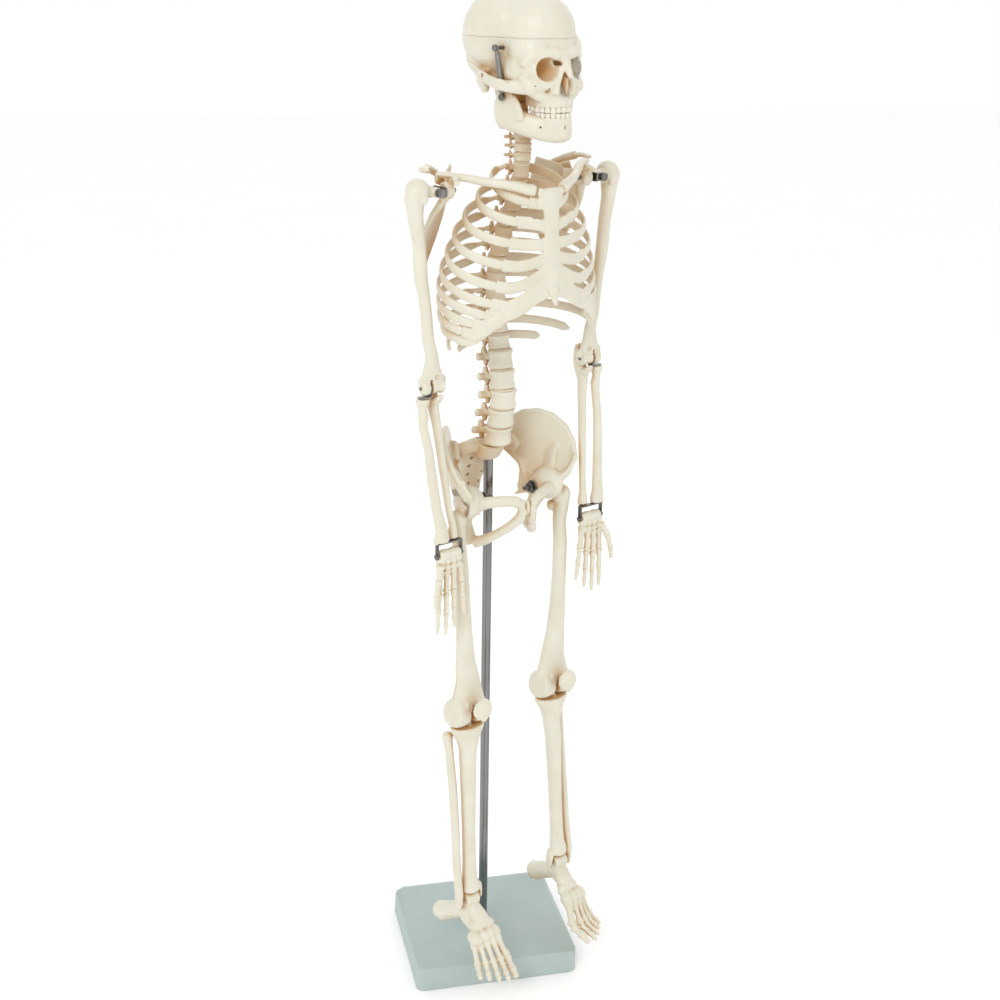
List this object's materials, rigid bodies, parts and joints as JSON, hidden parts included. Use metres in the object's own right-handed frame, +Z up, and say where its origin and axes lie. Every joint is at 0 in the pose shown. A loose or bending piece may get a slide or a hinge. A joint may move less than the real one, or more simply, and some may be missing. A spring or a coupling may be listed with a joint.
{
  "type": "human skeleton model",
  "caption": "Small jointed anatomical skeleton for teaching, hung on an upright pole from a flat rectangular base, with a lift-off skull cap and a sprung jaw.",
  "frame": {"origin": "on the pole's axis, in the underside of the base", "axes": "+Z up the pole, +X and +Y along the sides of the base; the skeleton stands turned 25 degrees on the pole, facing between -Y and +X"},
  "size_m": [0.1892, 0.1828, 0.8467],
  "materials": {
    "bone_plastic": "ivory moulded plastic with a soft shine",
    "disc_plastic": "flexible cream plastic",
    "teeth": "off-white moulded plastic",
    "stand_plastic": "pale blue-grey moulded plastic, finely speckled",
    "stand_underside": "dark grey sheet",
    "pole_steel": "bright plated tube",
    "fastener_steel": "plated screws, bolts and strips",
    "spring_steel": "close-wound spring wire"
  },
  "bodies": {
    "stand": {"base_shell": "stand_plastic", "base_bottom": "stand_underside", "base_insert": "fastener_steel", "base_screws": "fastener_steel", "pole": "pole_steel"},
    "sleeve": {"socket_sleeve": "pole_steel"},
    "trunk": {"sacrum": "bone_plastic", "hip_bone_left": "bone_plastic", "hip_bone_right": "bone_plastic", "pubic_disc": "disc_plastic", "lumbar_vertebrae": "bone_plastic", "thoracic_vertebrae": "bone_plastic", "neck_vertebrae": "bone_plastic", "spinal_discs": "disc_plastic", "ribs_left": "bone_plastic", "ribs_right": "bone_plastic", "sternum": "bone_plastic", "clavicle_left": "bone_plastic", "clavicle_right": "bone_plastic", "scapula_left": "bone_plastic", "scapula_right": "bone_plastic", "neck_post": "fastener_steel", "hip_bolt_left": "fastener_steel", "hip_bolt_right": "fastener_steel"},
    "head": {"skull_base": "bone_plastic", "upper_teeth": "teeth", "skull_screws": "fastener_steel", "jaw_springs": "spring_steel"},
    "cap": {"skull_cap": "bone_plastic"},
    "jaw": {"mandible": "bone_plastic", "lower_teeth": "teeth", "jaw_screws": "fastener_steel"},
    "shoulder_left": {"shoulder_bracket_left": "fastener_steel"},
    "upper_arm_left": {"humerus_left": "bone_plastic"},
    "forearm_left": {"elbow_bracket_left": "fastener_steel", "ulna_left": "bone_plastic", "radius_left": "bone_plastic", "wrist_bracket_left": "fastener_steel"},
    "hand_left": {"hand_left": "bone_plastic"},
    "thigh_left": {"femur_left": "bone_plastic", "patella_left": "bone_plastic"},
    "shin_left": {"knee_pin_left": "fastener_steel", "tibia_left": "bone_plastic", "fibula_left": "bone_plastic", "ankle_pin_left": "fastener_steel"},
    "foot_left": {"foot_left": "bone_plastic"},
    "shoulder_right": {"shoulder_bracket_right": "fastener_steel"},
    "upper_arm_right": {"humerus_right": "bone_plastic"},
    "forearm_right": {"elbow_bracket_right": "fastener_steel", "ulna_right": "bone_plastic", "radius_right": "bone_plastic", "wrist_bracket_right": "fastener_steel"},
    "hand_right": {"hand_right": "bone_plastic"},
    "thigh_right": {"femur_right": "bone_plastic", "patella_right": "bone_plastic"},
    "shin_right": {"knee_pin_right": "fastener_steel", "tibia_right": "bone_plastic", "fibula_right": "bone_plastic", "ankle_pin_right": "fastener_steel"},
    "foot_right": {"foot_right": "bone_plastic"}
  },
  "joints": [
    {"name": "lift_off", "type": "slide", "parent": "stand", "child": "sleeve", "axis": [0, 0, 1], "range_m": [0, 0.03]},
    {"name": "turn_on_pole", "type": "hinge", "parent": "sleeve", "child": "trunk", "pos_m": [0, 0, 0.473], "axis": [0, 0, 1], "continuous": true},
    {"name": "head_turn", "type": "hinge", "parent": "trunk", "child": "head", "pos_m": [0.01268, -0.02719, 0.7694], "axis": [0, 0, 1], "range_deg": [-60, 45]},
    {"name": "cap_lift", "type": "slide", "parent": "head", "child": "cap", "axis": [0, 0, 1], "range_m": [0, 0.03]},
    {"name": "jaw_open", "type": "hinge", "parent": "head", "child": "jaw", "pos_m": [0.0148, -0.03058, 0.7794], "axis": [0.848, 0.5299, 0], "range_deg": [0, 18], "stiffness_Nm_per_rad": 0.02, "springref_deg": -20.05, "deforming": ["jaw_springs"]},
    {"name": "shoulder_swing_left", "type": "hinge", "parent": "trunk", "child": "shoulder_left", "pos_m": [0.086, 0.00369, 0.7017], "axis": [0.9063, 0.4226, 0], "range_deg": [-80, 12]},
    {"name": "shoulder_spread_left", "type": "hinge", "parent": "shoulder_left", "child": "upper_arm_left", "pos_m": [0.086, 0.00369, 0.7017], "axis": [0.4226, -0.9063, 0], "range_deg": [0, 22]},
    {"name": "elbow_bend_left", "type": "hinge", "parent": "upper_arm_left", "child": "forearm_left", "pos_m": [0.08561, 0.00571, 0.5527], "axis": [0.9063, 0.4226, 0], "range_deg": [-95, 0]},
    {"name": "wrist_bend_left", "type": "hinge", "parent": "forearm_left", "child": "hand_left", "pos_m": [0.08651, -0.01042, 0.4177], "axis": [0.9063, 0.4226, 0], "range_deg": [-60, 50]},
    {"name": "hip_swing_left", "type": "hinge", "parent": "trunk", "child": "thigh_left", "pos_m": [0.05038, -0.0063, 0.449], "axis": [0.9063, 0.4226, 0], "range_deg": [-70, 12]},
    {"name": "knee_bend_left", "type": "hinge", "parent": "thigh_left", "child": "shin_left", "pos_m": [0.05648, -0.01228, 0.267], "axis": [0.9063, 0.4226, 0], "range_deg": [0, 80]},
    {"name": "ankle_bend_left", "type": "hinge", "parent": "shin_left", "child": "foot_left", "pos_m": [0.06476, -0.02056, 0.089], "axis": [0.9063, 0.4226, 0], "range_deg": [-18, 3]},
    {"name": "shoulder_swing_right", "type": "hinge", "parent": "trunk", "child": "shoulder_right", "pos_m": [-0.0581, -0.06351, 0.7017], "axis": [0.9063, 0.4226, 0], "range_deg": [-80, 12]},
    {"name": "shoulder_spread_right", "type": "hinge", "parent": "shoulder_right", "child": "upper_arm_right", "pos_m": [-0.0581, -0.06351, 0.7017], "axis": [-0.4226, 0.9063, 0], "range_deg": [0, 22]},
    {"name": "elbow_bend_right", "type": "hinge", "parent": "upper_arm_right", "child": "forearm_right", "pos_m": [-0.0594, -0.06191, 0.5527], "axis": [0.9063, 0.4226, 0], "range_deg": [-95, 0]},
    {"name": "wrist_bend_right", "type": "hinge", "parent": "forearm_right", "child": "hand_right", "pos_m": [-0.04763, -0.07296, 0.4177], "axis": [0.9063, 0.4226, 0], "range_deg": [-60, 50]},
    {"name": "hip_swing_right", "type": "hinge", "parent": "trunk", "child": "thigh_right", "pos_m": [-0.02756, -0.04264, 0.449], "axis": [0.9063, 0.4226, 0], "range_deg": [-70, 12]},
    {"name": "knee_bend_right", "type": "hinge", "parent": "thigh_right", "child": "shin_right", "pos_m": [-0.0269, -0.05116, 0.267], "axis": [0.9063, 0.4226, 0], "range_deg": [0, 80]},
    {"name": "ankle_bend_right", "type": "hinge", "parent": "shin_right", "child": "foot_right", "pos_m": [-0.02587, -0.06282, 0.089], "axis": [0.9063, 0.4226, 0], "range_deg": [-18, 3]}
  ]
}
